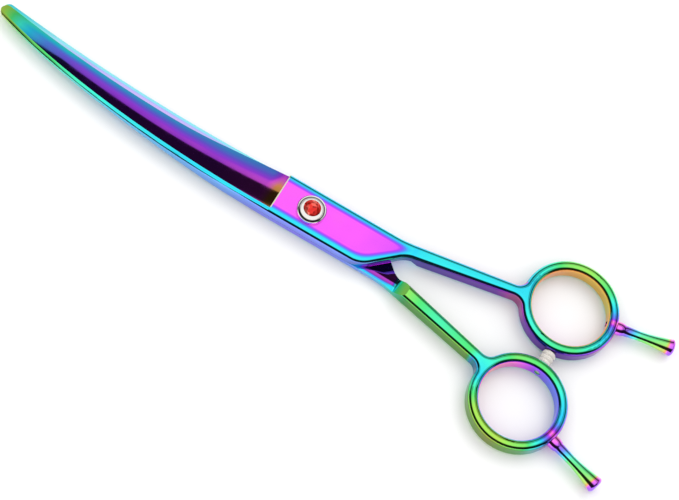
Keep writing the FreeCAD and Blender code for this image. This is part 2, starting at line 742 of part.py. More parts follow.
front = make_half("front_half")
rear = make_half("rear_half")
bore_front_plate(front)
bore_rear_plate(rear)
bore_ring_wall(rear, "bumper_hole", -1, "bumper_angle", "bumper_diameter", "bumper_stem")
for label, (holder, ring_side, angle) in RESTS.items():
    holder_body = front if holder == "front_half" else rear
    bore_ring_wall(holder_body, label + "_hole", ring_side, angle, "rest_collar", "stud_diameter")
    make_finger_rest(label, ring_side, angle)
make_pivot_bolt()
make_washer("glide_washer", GLIDE_FLOOR, "glide_thickness", "(glide_diameter / 2)",
            "(bolt_diameter / 2 + glide_clearance)")
make_washer("spring_washer", SPRING_FLOOR, "spring_thickness", "(spring_diameter / 2)",
            "(bolt_diameter / 2 + spring_clearance)")
make_tension_nut()
make_jewel()
make_bumper()
DOC.recompute()

failed = [item.Name for item in DOC.Objects if "Invalid" in item.State or "Error" in item.State]
if failed:
    raise RuntimeError(f"failed objects: {failed}")
bodies = [item for item in DOC.Objects if item.TypeId == "PartDesign::Body"]
for body in bodies:
    if body.Shape.isNull() or not body.Shape.isValid():
        raise RuntimeError(f"{body.Label} has no valid shape")
    if len(body.Shape.Solids) != 1:
        raise RuntimeError(f"{body.Label} is not one solid")

os.makedirs("parts", exist_ok=True)
for body in bodies:
    body.Shape.exportStep(f"parts/{body.Label}.step")
    print(f"{body.Label}: {body.Shape.Volume:.1f} mm3")
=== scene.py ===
# %% [markdown]
# Curved grooming shears in polished steel with a rainbow titanium coat.  The CAD model is
# loaded first as a fixed frame: every steel piece already has its true size and place, so
# Blender's work is the finish, the jewel, the light and the camera.

# %% Load the frame
import math
from types import SimpleNamespace

import bmesh
import bpy
from mathutils import Matrix, Vector


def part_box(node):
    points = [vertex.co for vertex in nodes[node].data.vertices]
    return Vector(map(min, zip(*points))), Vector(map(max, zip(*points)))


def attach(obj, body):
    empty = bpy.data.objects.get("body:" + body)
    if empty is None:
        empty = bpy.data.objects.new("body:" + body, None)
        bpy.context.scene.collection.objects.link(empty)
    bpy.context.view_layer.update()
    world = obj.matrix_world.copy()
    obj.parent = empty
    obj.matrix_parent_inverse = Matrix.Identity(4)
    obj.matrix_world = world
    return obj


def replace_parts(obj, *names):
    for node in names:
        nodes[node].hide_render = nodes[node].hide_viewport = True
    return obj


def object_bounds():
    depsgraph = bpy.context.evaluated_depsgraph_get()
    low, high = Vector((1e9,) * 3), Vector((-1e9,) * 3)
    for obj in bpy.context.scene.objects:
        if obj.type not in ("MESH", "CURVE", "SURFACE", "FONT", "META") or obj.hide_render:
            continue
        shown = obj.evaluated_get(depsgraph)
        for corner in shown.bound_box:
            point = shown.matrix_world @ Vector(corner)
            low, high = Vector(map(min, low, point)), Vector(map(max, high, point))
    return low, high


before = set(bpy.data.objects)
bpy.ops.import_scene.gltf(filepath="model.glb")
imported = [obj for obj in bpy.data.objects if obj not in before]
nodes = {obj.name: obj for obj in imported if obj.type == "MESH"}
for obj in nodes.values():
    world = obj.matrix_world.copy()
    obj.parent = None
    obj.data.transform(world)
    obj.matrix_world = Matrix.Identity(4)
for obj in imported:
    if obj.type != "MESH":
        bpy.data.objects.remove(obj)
cad_low, cad_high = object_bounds()
MM = 0.001
print("CAD pieces:", ", ".join(sorted(nodes)))
print("CAD box in mm:", [round((b - a) / MM, 1) for a, b in zip(cad_low, cad_high)])

# %% [markdown]
# The shears lie closed on a white table, seen from 65 degrees above the horizon and turned
# so that the tips point to the upper left.  The camera stands well back with a long lens,
# as for a catalogue, so that the rings and the tips keep their true proportions.  Its axes
# are built from three angles: the heading, the elevation and the roll.

# %% Camera
HEADING = math.radians(4.6)
ELEVATION = math.radians(65)
ROLL = math.radians(27)
DISTANCE = 650 * MM
LENS_MM = 126.8
TARGET = Vector((12.08, -4.26, 2.78)) * MM

level_right = Vector((math.cos(HEADING), math.sin(HEADING), 0))
level_ahead = Vector((-math.sin(HEADING), math.cos(HEADING), 0))
to_camera = Vector((0, 0, 1)) * math.sin(ELEVATION) - level_ahead * math.cos(ELEVATION)
level_up = level_ahead * math.sin(ELEVATION) + Vector((0, 0, 1)) * math.cos(ELEVATION)
right = level_right * math.cos(ROLL) + level_up * math.sin(ROLL)
up = level_up * math.cos(ROLL) - level_right * math.sin(ROLL)

camera = bpy.data.objects.new("camera", bpy.data.cameras.new("camera"))
bpy.context.scene.collection.objects.link(camera)
camera.data.lens = LENS_MM
turned = Matrix((right, up, to_camera)).transposed().to_4x4()
camera.matrix_world = Matrix.Translation(TARGET + to_camera * DISTANCE) @ turned
bpy.context.scene.camera = camera
print("camera at, in mm:", [round(c / MM, 1) for c in camera.matrix_world.translation])

# %% [markdown]
# Colours are written as the hex values that a painter or a web page uses.  Blender works in
# linear light, so one function turns them.  A second small function adds a shader node: it
# sets the node's own settings and then fills its inputs, with a link where the value is
# another node's output and with a plain number or colour otherwise.  A Mix node has a pair
# of inputs for each kind of value: 2 and 3 for numbers, 4 and 5 for vectors, 6 and 7 for
# colours, with the factor at 0.

# %% Colour and node helpers
def linear(hex_colour):
    """An sRGB hex colour as Blender's linear red, green, blue and alpha."""
    parts = [int(hex_colour[i:i + 2], 16) / 255 for i in (1, 3, 5)]
    return [p / 12.92 if p <= 0.04045 else ((p + 0.055) / 1.055) ** 2.4 for p in parts] + [1]


def node(material, kind, inputs=(), stops=(), curve=(), output=0, **settings):
    """Adds a node, sets it, fills its inputs, and returns one of its outputs."""
    made = material.node_tree.nodes.new("ShaderNode" + kind)
    for name, value in settings.items():
        setattr(made, name, value)
    pairs = inputs.items() if isinstance(inputs, dict) else enumerate(inputs)
    for key, value in pairs:
        if isinstance(value, bpy.types.NodeSocket):
            material.node_tree.links.new(value, made.inputs[key])
        elif value is not None:
            made.inputs[key].default_value = value
    if stops:
        elements = made.color_ramp.elements
        while len(elements) < len(stops):
            elements.new(1)
        for element, (place, colour) in zip(elements, stops):
            element.position = place
            element.color = colour
    if curve:
        points = made.mapping.curves[0].points
        while len(points) < len(curve):
            points.new(1, 1)
        for point, place in zip(points, curve):
            point.location = place
        made.mapping.update()
    return made.outputs[output] if made.outputs else made


def new_material(name):
    """An empty node material."""
    material = bpy.data.materials.new(name)
    material.use_nodes = True
    material.node_tree.nodes.clear()
    return material


print("linear value of a mid grey:", round(linear("#808080")[0], 3))

# %% [markdown]
# A rainbow titanium coat ends in a clear oxide film, a fraction of a micron thick, on
# polished metal.  Light from the top and the bottom of the film interferes, so its colour runs
# through a fixed order as the film gets thicker: gold, pink, violet, blue, cyan, green and
# gold again.  One full turn through that order is called one phase here.  The whole coat is
# then a map of film thickness over the shears, and one colour ramp turns it to colour.

# %% The film's colours, in order of thickness
FILM_ORDER = [
    (0.00, "#E8B848"), (0.09, "#FFA070"), (0.17, "#FF86C8"), (0.27, "#FF62FF"),
    (0.36, "#B048FF"), (0.46, "#8068FF"), (0.55, "#5C94FF"), (0.66, "#30D8FF"),
    (0.75, "#48FFE0"), (0.84, "#58F080"), (0.92, "#A8F060"), (1.00, "#E8B848"),
]
film_stops = [(place, linear(colour)) for place, colour in FILM_ORDER]
print("film colours:", len(film_stops))

# %% [markdown]
# The film didn't grow evenly, and it follows the shape: it changes slowly along the blades
# and quickly beside an edge, and a side wall took a different thickness from a top face.
# The lists below give the phase along each half, from the tips to the rings.  A phase above
# 1 is the next turn.

# %% Film thickness along the halves
TIP_X, RING_END_X = -102.0, 104.0
SPAN = RING_END_X - TIP_X
HIGHEST_PHASE = 2.0

TOP_ALONG = {
    "front_half": [(-101, 0.93), (-97, 0.80), (-93, 0.69), (-88, 0.58), (-82, 0.48), (-74, 0.40),
                   (-60, 0.36), (-30, 0.33), (-14, 0.29), (-11.8, 0.08), (-10.5, 0.0),
                   (-9.5, 0.27), (20, 0.27), (26, 0.30), (31, 0.69), (50, 0.71), (60, 0.71)],
    "rear_half": [(-101, 0.93), (-95, 0.84), (-85, 0.62), (-60, 0.46), (-30, 0.42), (0, 0.30),
                  (29.6, 0.30), (30.2, 0.95), (34, 0.88), (38, 0.84), (46, 0.80), (56, 0.84),
                  (64, 0.80)],
}
WALL_ALONG = {
    "front_half": [(-101, 0.95), (-90, 0.80), (-70, 0.70), (-50, 0.62), (-20, 0.56), (0, 0.50),
                   (18, 0.52), (26, 0.64), (32, 0.46), (40, 0.42), (54, 0.38), (62, 0.16),
                   (66, 0.14)],
    "rear_half": [(-101, 0.95), (-90, 0.80), (-70, 0.70), (-50, 0.62), (-20, 0.54), (0, 0.46),
                  (14, 0.50), (24, 0.62), (30, 0.74), (36, 0.88), (60, 0.92), (66, 0.88)],
}

# %% [markdown]
# Round a ring the film changes with the angle, measured from +X, and most quickly on the
# side away from the blades.  A ring has three lists, for its top, its outside and the wall
# of its finger hole.  Ramps hold the lists, as shares of the highest phase.

# %% Film thickness round the rings
RING_X, RING_Y = 74.3, 16.0
RING_REACH, RING_FADE = 15.0, 19.0
RING_TOP = {
    "front_half": [(-180, 0.68), (-150, 0.70), (-110, 0.80), (-60, 0.84), (-30, 0.74),
                   (-8, 0.66), (4, 0.50), (12, 0.17), (18, 0.50), (28, 0.66), (50, 0.82),
                   (90, 0.90), (120, 0.88), (150, 0.76), (180, 0.68)],
    "rear_half": [(-180, 0.68), (-160, 0.82), (-140, 0.92), (-90, 0.93), (-55, 0.88),
                  (-34, 0.68), (-26, 0.50), (-16, 0.19), (-6, 0.50), (4, 0.66), (30, 0.70),
                  (70, 0.84), (120, 0.87), (150, 0.78), (180, 0.68)],
}
RING_OUTSIDE = {
    "front_half": [(-180, 0.12), (-150, 0.22), (-130, 0.38), (-90, 0.42), (-50, 0.38),
                   (-20, 0.30), (12, 0.12), (40, 0.80), (90, 0.84), (140, 0.70), (180, 0.66)],
    "rear_half": [(-180, 0.74), (-150, 0.90), (-100, 0.96), (-60, 0.86), (-35, 0.62),
                  (-16, 0.36), (10, 0.30), (60, 0.50), (120, 0.60), (180, 0.62)],
}
RING_INSIDE = {
    "front_half": [(-180, 1.10), (-90, 1.30), (0, 1.08), (30, 0.99), (90, 0.985), (130, 1.04),
                   (180, 1.10)],
    "rear_half": [(-180, 0.12), (-90, 0.30), (0, 0.50), (60, 0.52), (90, 0.38), (120, 0.22),
                  (160, 0.12), (180, 0.12)],
}


def along_stops(points):
    """Phase along X as ramp stops."""
    return [((x - TIP_X) / SPAN, [phase / HIGHEST_PHASE] * 3 + [1]) for x, phase in points]


def around_stops(points):
    """Phase by angle as ramp stops."""
    return [((angle + 180) / 360, [phase / HIGHEST_PHASE] * 3 + [1]) for angle, phase in points]


print("stations along the front half:", len(TOP_ALONG["front_half"]))

# %% [markdown]
# Beside an edge the film turns towards cyan, so the coat has to know how far a point is
# from the edges.  The blade's spine and cutting edge are gentle curves, given here by a few
# points in millimetres.  Both halves share one set of formulas: "across" is Y for the
# front half and -Y for the rear half, so the ring is always on the positive side.

# %% Where the blades' edges are
BLADE_SPINE = {
    "front_half": [(-102, 3.9), (-91, 0.8), (-80, -1.5), (-65, -3.8), (-50, -5.4), (-35, -6.4),
                   (-20, -6.7), (-10, -6.7)],
    "rear_half": [(-102, -8.2), (-80, -6.44), (-60, -5.6), (-46, -5.4), (-30, -5.7), (-10, -6.57)],
}
BLADE_EDGE = {
    "front_half": [(-102, 7.4), (-90, 5.9), (-75, 4.5), (-60, 3.7), (-47, 3.5), (-32, 4.3),
                   (-10, 6.7)],
    "rear_half": [(-102, -4.2), (-91, -1.05), (-80, 1.3), (-65, 3.6), (-50, 5.3), (-35, 6.3),
                  (-20, 6.67), (-10, 6.7)],
}
BEVEL_ROOT, BEVEL_TIP = 1.3, 0.7
WIDEST = 12.0


def curve_points(points):
    """Points in millimetres as a curve node's points, which lie between 0 and 1."""
    return [((x - TIP_X) / SPAN, (y + WIDEST) / (2 * WIDEST)) for x, y in points]


print("curves for:", ", ".join(BLADE_SPINE))

# %% [markdown]
# Each blade's outer face is hollow ground: it leans away from the ridge, most of all beside
# the ridge.  A mirror shows every facet of a mesh, so the coat gives the hollow its exact
# lean, which runs evenly from the ridge to the cutting edge.  These are the leans, as rise
# over run, at stations along the blade.

# %% Lean of the hollow ground faces
LEAN_LIMIT = 0.5
LEAN_AT_RIDGE = {
    "front_half": [(-102, 0.12), (-92, 0.19), (-80, 0.27), (-60, 0.31), (-40, 0.34), (-10, 0.39)],
    "rear_half": [(-102, 0.20), (-80, 0.30), (-50, 0.33), (-30, 0.25), (-10, 0.19)],
}
LEAN_AT_EDGE = {
    "front_half": [(-102, 0.05), (-80, 0.08), (-50, 0.06), (-10, 0.04)],
    "rear_half": [(-102, 0.10), (-80, 0.09), (-50, 0.06), (-30, 0.0), (-10, 0.0)],
}
LEAN_TO_TIP = -0.017


def lean_stops(points):
    """Leans along X as ramp stops."""
    return [((x - TIP_X) / SPAN, [lean / LEAN_LIMIT] * 3 + [1]) for x, lean in points]


steepest = max(lean for points in LEAN_AT_RIDGE.values() for x, lean in points)
print("steepest lean in degrees:", round(math.degrees(math.atan(steepest)), 1))

# %% [markdown]
# The coat itself is titanium, deposited from vapour on hardened and buffed stainless steel.
# It is a full metal, so its colour is the colour of its reflections.  Its roughness is that
# of a buffed face, with finger marks and faint polishing lines.  Real polishing lines are
# too fine to see, so they are drawn coarser.

# %% Shared end of every coat
PHASE_DRIFT = 0.03
PATCH_SCALE = 90
SMUDGE_SCALE = 420
LINE_STRETCH = (60, 1600, 1600)
MARK_RANGE, BUFFED_ROUGHNESS = (0.12, 0.4), (0.035, 0.10)


def finish_coat(m, place, phase, pale, painted_shade=0.0, normal=None):
    """Colour, polish and output of a coat whose film phase is known."""
    drift = node(m, "TexNoise", {"Vector": place, "Scale": PATCH_SCALE, "Detail": 1})
    drift = node(m, "MapRange", [drift, 0, 1, -PHASE_DRIFT, PHASE_DRIFT])
    phase = node(m, "Math", [node(m, "Math", [phase, drift], operation="ADD")], operation="FRACT")
    colour = node(m, "ValToRGB", [phase], stops=film_stops)
    # Towards white is painted sheen on walls and real wear on lapped faces; towards black is
    # painted shade on the handle's walls.
    for amount, towards in ((pale, "#FFFFFF"), (painted_shade, "#000000")):
        colour = node(m, "Mix", {0: amount, 6: colour, 7: linear(towards)}, data_type="RGBA",
                      output=2)
    smudge = node(m, "TexNoise", {"Vector": place, "Scale": SMUDGE_SCALE, "Detail": 3})
    drawn = node(m, "VectorMath", [place, LINE_STRETCH], operation="MULTIPLY")
    lines = node(m, "TexNoise", {"Vector": drawn, "Scale": 1, "Detail": 2})
    marks = node(m, "Math", [smudge, lines], operation="MULTIPLY")
    rough = node(m, "MapRange", [marks, *MARK_RANGE, *BUFFED_ROUGHNESS])
    links = {"Base Color": colour, "Roughness": rough, "Metallic": 1.0}
    if normal is not None:
        links["Normal"] = normal
    node(m, "OutputMaterial", [node(m, "BsdfPrincipled", links)])
    return m


print("polishing lines", round(1 / (LINE_STRETCH[1] * MM), 2), "mm apart")

# %% [markdown]
# A coat has to know where on the piece each point lies.  Both halves use one frame in
# millimetres, in which the ring is always on the positive side: X is kept, and the rear
# half's Y and Z are turned over.  The face's normal is turned the same way, so "outward" is
# 1 on a plate's outer face and -1 on the face that rides on the other half.

# %% Place and normal in a half's own frame
TOP_RISE = (0.45, 0.86)


def half_frame(m, side):
    """Where a point lies and how its face is turned; side is the Y direction of the ring."""
    place = node(m, "TexCoord", output=3)
    normal = node(m, "TexCoord", output=1)
    mirrored = node(m, "VectorMath", [place, (1 / MM, side / MM, side / MM)],
                    operation="MULTIPLY")
    position = node(m, "SeparateXYZ", [mirrored]).node
    turned = node(m, "VectorMath", [normal, (1, side, side)], operation="MULTIPLY")
    direction = node(m, "SeparateXYZ", [turned]).node
    rise = node(m, "Math", [direction.outputs[2]], operation="ABSOLUTE")
    return SimpleNamespace(
        place=place, normal=normal, x=position.outputs[0], across=position.outputs[1],
        sideways=direction.outputs[1], outward=direction.outputs[2], rise=rise,
        facing=node(m, "MapRange", [rise, *TOP_RISE], interpolation_type="SMOOTHSTEP"),
        share=node(m, "MapRange", [position.outputs[0], TIP_X, RING_END_X]))


print("a face is fully a top up to a tilt of", round(math.degrees(math.acos(TOP_RISE[1]))),
      "degrees")

# %% [markdown]
# On a blade, the coat follows three lines: the spine, the ridge beside it where the hollow
# grinding starts, and the cutting edge.  Two curve nodes give the spine and the edge, and
# the bevel's width gives the ridge.  "to_edge" runs from 0 at the ridge to 1 at the edge.

# %% Zones of a blade
STEP_X = -10.0
OUTER_FACE, INNER_FACE, HOLLOW_FACE = 0.8, -0.8, -0.16
SPINE_LINE = (1.1, 0.5)


def blade_zones(m, half, at):
    """Masks and measures of a blade; at is the half's frame."""
    lines = []
    for points in (BLADE_SPINE[half], BLADE_EDGE[half]):
        line = node(m, "FloatCurve", {"Value": at.share}, curve=curve_points(points))
        lines.append(node(m, "MapRange", [line, 0, 1, -WIDEST, WIDEST]))
    spine, edge = lines
    bevel = node(m, "MapRange", [at.x, STEP_X, TIP_X, BEVEL_ROOT, BEVEL_TIP])
    ridge = node(m, "Math", [spine, bevel], operation="ADD")
    from_ridge = node(m, "Math", [at.across, ridge], operation="SUBTRACT")
    width = node(m, "Math", [edge, ridge], operation="SUBTRACT")
    on_blade = node(m, "Math", [at.x, STEP_X], operation="LESS_THAN")
    is_outer = node(m, "Math", [at.outward, OUTER_FACE], operation="GREATER_THAN")
    is_hollow = node(m, "Math", [at.sideways, HOLLOW_FACE], operation="GREATER_THAN")
    on_outer = node(m, "Math", [on_blade, is_outer], operation="MULTIPLY")
    from_spine = node(m, "Math", [at.across, spine], operation="SUBTRACT")
    return SimpleNamespace(
        on_blade=on_blade, from_ridge=from_ridge,
        to_edge=node(m, "Math", [from_ridge, width], operation="DIVIDE"),
        on_flute=node(m, "Math", [on_outer, is_hollow], operation="MULTIPLY"),
        inner_face=node(m, "Math", [at.outward, INNER_FACE], operation="LESS_THAN"),
        spine_line=node(m, "MapRange", [from_spine, *SPINE_LINE]))


print("the blade ends at a step", -STEP_X, "mm from the pivot")

# %% [markdown]
# A plate has a cyan border, since a film grows thicker beside an edge.  The border follows
# the plate's long sides and its slanting shoulder, and a smooth maximum of the two distances
# rounds it where they meet.  By the crotch, an inner face has no border, and the rear one is
# shaded as if it were relieved there, so that it doesn't rub.

# %% Zones of a plate
PLATE_HALF_WIDTH, PLATE_LEAN, LEAN_RUN = 6.7, 0.02, 100
SHOULDER = (18.8, -6.1, 0)
SHOULDER_SLOPE = (0.66, -0.75, 0)
BORDER_FADE, BORDER_ROUND, BORDER_END = (-3.0, -1.1), 3.0, (29, 33)
RELIEF_FACE, RELIEF_START, RELIEF_END, RELIEF_RIM = (-0.9, -0.95), (13, 22), 30.5, 5.2


def plate_zones(m, at, on_blade):
    """The border of a plate, and the relief on its inner face."""
    lean = node(m, "MapRange", [at.x, STEP_X, STEP_X + LEAN_RUN, 0, LEAN_RUN * PLATE_LEAN],
                clamp=False)
    level = node(m, "Math", [at.across, lean], operation="SUBTRACT")
    level = node(m, "Math", [level], operation="ABSOLUTE")
    beside = node(m, "Math", [level, PLATE_HALF_WIDTH], operation="SUBTRACT")
    offset = node(m, "CombineXYZ", [at.x, at.across, 0])
    offset = node(m, "VectorMath", [offset, SHOULDER], operation="SUBTRACT")
    beyond = node(m, "VectorMath", [offset, SHOULDER_SLOPE], operation="DOT_PRODUCT", output=1)
    rim = node(m, "Math", [beside, beyond, BORDER_ROUND], operation="SMOOTH_MAX")
    border = node(m, "MapRange", [rim, *BORDER_FADE], interpolation_type="SMOOTHSTEP")
    on_plate = node(m, "MapRange", [at.x, *BORDER_END, 1, 0])
    on_plate = node(m, "Math", [on_plate, on_blade], operation="SUBTRACT", use_clamp=True)
    border = node(m, "Math", [border, on_plate], operation="MULTIPLY")

    is_inner = node(m, "MapRange", [at.outward, *RELIEF_FACE])
    in_crotch = node(m, "MapRange", [at.x, *RELIEF_START], interpolation_type="SMOOTHSTEP")
    in_relief = node(m, "Math", [is_inner, in_crotch], operation="MULTIPLY")
    before_shank = node(m, "Math", [at.x, RELIEF_END], operation="LESS_THAN")
    in_relief = node(m, "Math", [in_relief, before_shank], operation="MULTIPLY")
    within_rim = node(m, "Math", [at.across, RELIEF_RIM], operation="LESS_THAN")
    bare = node(m, "Math", [in_relief, within_rim], operation="MULTIPLY")
    border = node(m, "Math", [border, bare], operation="SUBTRACT", use_clamp=True)
    return border, in_relief


print("plate border", round(-BORDER_FADE[1], 1), "to", -BORDER_FADE[0], "mm wide")

# %% [markdown]
# With the zones known, the film on the top faces is put together.  It starts from the list
# along the half.  The flute's film thickens towards the cutting edge, the strip beside the
# spine has a list of its own, and the plate's border is cyan.

# %% Film on the top faces
STRIP_ALONG = {
    "front_half": [(-101, 0.93), (-90, 0.88), (-78, 0.80), (-62, 0.72), (-40, 0.68),
                   (-10, 0.68)],
    "rear_half": [(-101, 0.90), (-94, 0.76), (-84, 0.62), (-72, 0.44), (-50, 0.38),
                  (-30, 0.46), (-10, 0.55)],
}
CYAN = 0.69 / HIGHEST_PHASE
EDGE_SHIFT, EDGE_SHIFT_FROM = 0.26 / HIGHEST_PHASE, 0.56
TIP_FADE, TIP_SHARE = (-96, -80), 0.1
MOST_BLADE_PHASE = 0.94 / HIGHEST_PHASE


def top_film(m, half, at, blade, border):
    """Phase on the top faces of a blade, plate and shank."""
    film = node(m, "ValToRGB", [at.share], stops=along_stops(TOP_ALONG[half]))
    shift = node(m, "MapRange", [blade.to_edge, EDGE_SHIFT_FROM, 1.0, 0, EDGE_SHIFT],
                 interpolation_type="SMOOTHSTEP")
    clear_of_tip = node(m, "MapRange", [at.x, *TIP_FADE, TIP_SHARE, 1.0])
    shift = node(m, "Math", [shift, clear_of_tip], operation="MULTIPLY")
    shift = node(m, "Math", [shift, blade.on_flute], operation="MULTIPLY")
    film = node(m, "Math", [film, shift], operation="ADD")
    film = node(m, "Math", [film, MOST_BLADE_PHASE], operation="MINIMUM")

    strip = node(m, "Math", [blade.on_blade, blade.on_flute], operation="SUBTRACT")
    strip_film = node(m, "ValToRGB", [at.share], stops=along_stops(STRIP_ALONG[half]))
    line = node(m, "Math", [blade.inner_face, blade.spine_line], operation="MULTIPLY")
    strip_film = node(m, "Mix", {0: line, 2: strip_film, 3: CYAN})
    film = node(m, "Mix", {0: strip, 2: film, 3: strip_film})
    return node(m, "Mix", {0: border, 2: film, 3: CYAN})


print("strips beside the spine:", ", ".join(STRIP_ALONG))

# %% [markdown]
# A ring's film changes round it, so the coat measures the angle about the ring's centre with
# a radial gradient.  The dot product of the way out from the centre and the normal tells the
# outside wall from the finger hole's wall.

# %% Film on a ring
def ring_film(m, half, side, at):
    """Phases of a ring's top and wall, and masks of the ring and of its outside."""
    in_mm = node(m, "VectorMath", [at.place, (1 / MM, 1 / MM, 0)], operation="MULTIPLY")
    out = node(m, "VectorMath", [in_mm, (RING_X, side * RING_Y, 0)], operation="SUBTRACT")
    reach = node(m, "VectorMath", [out], operation="LENGTH", output=1)
    angle = node(m, "TexGradient", [out], gradient_type="RADIAL", output=1)
    outside = node(m, "ValToRGB", [angle], stops=around_stops(RING_OUTSIDE[half]))
    inside = node(m, "ValToRGB", [angle], stops=around_stops(RING_INSIDE[half]))
    away = node(m, "VectorMath", [out, at.normal], operation="DOT_PRODUCT", output=1)
    is_outside = node(m, "MapRange", [away, -1, 1])
    return SimpleNamespace(
        top=node(m, "ValToRGB", [angle], stops=around_stops(RING_TOP[half])),
        wall=node(m, "Mix", {0: is_outside, 2: inside, 3: outside}),
        on_ring=node(m, "MapRange", [reach, RING_FADE, RING_REACH],
                     interpolation_type="SMOOTHSTEP"),
        is_outside=is_outside)


print("ring film starts", RING_FADE, "mm from a ring's centre")

# %% [markdown]
# The coat is mixed towards white and towards black in places.  Side walls are a little paler,
# which is painted sheen, and the lapped inner face of a blade is much paler, since lapping
# wears the coat.  The walls of the shanks and the rings' outsides are darkened towards black,
# which is painted shade for the dimmer light on them.

# %% Painted sheen, wear and painted shade
# Painted sheen: how pale the walls are drawn, less on the shanks than on the blades.
WALL_PAINTED_SHEEN, SHANK_PAINTED_SHEEN, PAINTED_SHEEN_FADE = 0.12, 0.03, (24, 34)
LAPPED_PALENESS, TIP_PALENESS, LAPPED_FADE = 0.45, 0.1, (-97, -85)
SPINE_LINE_COAT = 0.4
# Painted shade: how far the walls of the shanks and the rings' outsides are darkened towards
# black.
WALL_PAINTED_SHADE, WALL_RISE = 0.60, (0.25, 0.7)
PAINTED_SHADE_FROM = {"front_half": (12, 22), "rear_half": (24, 34)}


def paleness(m, at, blade):
    """How much the coat is mixed towards white: painted sheen on the walls, real wear on the
    lapped faces.
    """
    # painted sheen on the walls
    walls = node(m, "Math", [1, at.facing], operation="SUBTRACT")
    wall_sheen = node(m, "MapRange", [at.x, *PAINTED_SHEEN_FADE, WALL_PAINTED_SHEEN, SHANK_PAINTED_SHEEN])
    wall_sheen = node(m, "Math", [walls, wall_sheen], operation="MULTIPLY")
    coated = node(m, "Math", [blade.spine_line, SPINE_LINE_COAT], operation="MULTIPLY")
    bared = node(m, "Math", [1, coated], operation="SUBTRACT")
    lapped = node(m, "Math", [blade.inner_face, blade.on_blade], operation="MULTIPLY")
    lapped_pale = node(m, "MapRange", [at.x, *LAPPED_FADE, TIP_PALENESS, LAPPED_PALENESS])
    lapped_pale = node(m, "Math", [lapped_pale, bared], operation="MULTIPLY")
    lapped_pale = node(m, "Math", [lapped, lapped_pale], operation="MULTIPLY")
    return node(m, "Math", [wall_sheen, lapped_pale], operation="MAXIMUM")


def painted_wall_shade(m, half, at, ring):
    """How much painted shade darkens the handle's walls."""
    # painted shade on the walls, fading in along the handle
    on_wall = node(m, "MapRange", [at.rise, *WALL_RISE, 1, 0], interpolation_type="SMOOTHSTEP")
    on_handle = node(m, "MapRange", [at.x, *PAINTED_SHADE_FROM[half], 0, WALL_PAINTED_SHADE])
    painted_shade = node(m, "Math", [on_wall, on_handle], operation="MULTIPLY")
    not_hole = node(m, "Mix", {0: ring.on_ring, 2: 1.0, 3: ring.is_outside})
    return node(m, "Math", [painted_shade, not_hole], operation="MULTIPLY")


print("paleness of a lapped face:", LAPPED_PALENESS)

# %% [markdown]
# Where the plate steps down to the flute, the sharp corner shows as a thin pale gold line.  It
# is a soft-sided band across the step, and only on the outer face.

# %% Gold line along the step
STEP_LINE, STEP_LINE_X, STEP_LINE_START = (0.22, 0.14), STEP_X + 0.1, 0.2
STEP_GOLD, STEP_PALENESS = 0.98, 0.45


def step_line(m, at, blade):
    """Mask of the thin pale gold line at the step's corner."""
    off = node(m, "Math", [at.x, STEP_LINE_X], operation="SUBTRACT")
    off = node(m, "Math", [off], operation="ABSOLUTE")
    line = node(m, "MapRange", [off, *STEP_LINE])
    past_ridge = node(m, "Math", [blade.from_ridge, STEP_LINE_START], operation="GREATER_THAN")
    line = node(m, "Math", [line, past_ridge], operation="MULTIPLY")
    return node(m, "Math", [line, at.outward], operation="MULTIPLY", use_clamp=True)


print("gold line", round(sum(STEP_LINE), 2), "mm wide")

# %% [markdown]
# The last thing the coat needs is the exact normal.  On the flute it comes from the lists
# of leans, and on the rear plate's relief from a slight hollow towards the crotch.
# Everywhere else the mesh's own normal is kept.  A shader wants its normal in world space,
# so it is turned.

# %% Exact lean of the ground faces
RELIEF_LEAN, RELIEF_ACROSS = 0.36, (3.0, 6.0)


def ground_normal(m, half, side, at, blade, in_relief):
    """World normal of a half, exact on its ground faces."""
    at_ridge = node(m, "ValToRGB", [at.share], stops=lean_stops(LEAN_AT_RIDGE[half]))
    at_edge = node(m, "ValToRGB", [at.share], stops=lean_stops(LEAN_AT_EDGE[half]))
    hollow = node(m, "Mix", {0: blade.to_edge, 2: at_ridge, 3: at_edge})
    hollow = node(m, "Math", [hollow, side * LEAN_LIMIT], operation="MULTIPLY")
    ground = node(m, "CombineXYZ", [LEAN_TO_TIP, hollow, side])
    ground = node(m, "VectorMath", [ground], operation="NORMALIZE")
    ground = node(m, "Mix", {0: blade.on_flute, 4: at.normal, 5: ground}, data_type="VECTOR",
                  output=1)
    if half == "rear_half":
        lean = node(m, "MapRange", [at.across, *RELIEF_ACROSS, RELIEF_LEAN, 0.0],
                    interpolation_type="SMOOTHSTEP")
        relief = node(m, "CombineXYZ", [0, lean, 1])
        relief = node(m, "VectorMath", [relief], operation="NORMALIZE")
        ground = node(m, "Mix", {0: in_relief, 4: ground, 5: relief}, data_type="VECTOR",
                      output=1)
    return node(m, "VectorTransform", [ground], vector_type="NORMAL", convert_from="OBJECT",
                convert_to="WORLD")


print("relief leans by", round(math.degrees(math.atan(RELIEF_LEAN)), 1), "degrees at most")

# %% [markdown]
# Now the coat of a half is a short list of steps: find the zones, look up the film, make
# some places pale or dull, and hand over to the shared end of every coat.

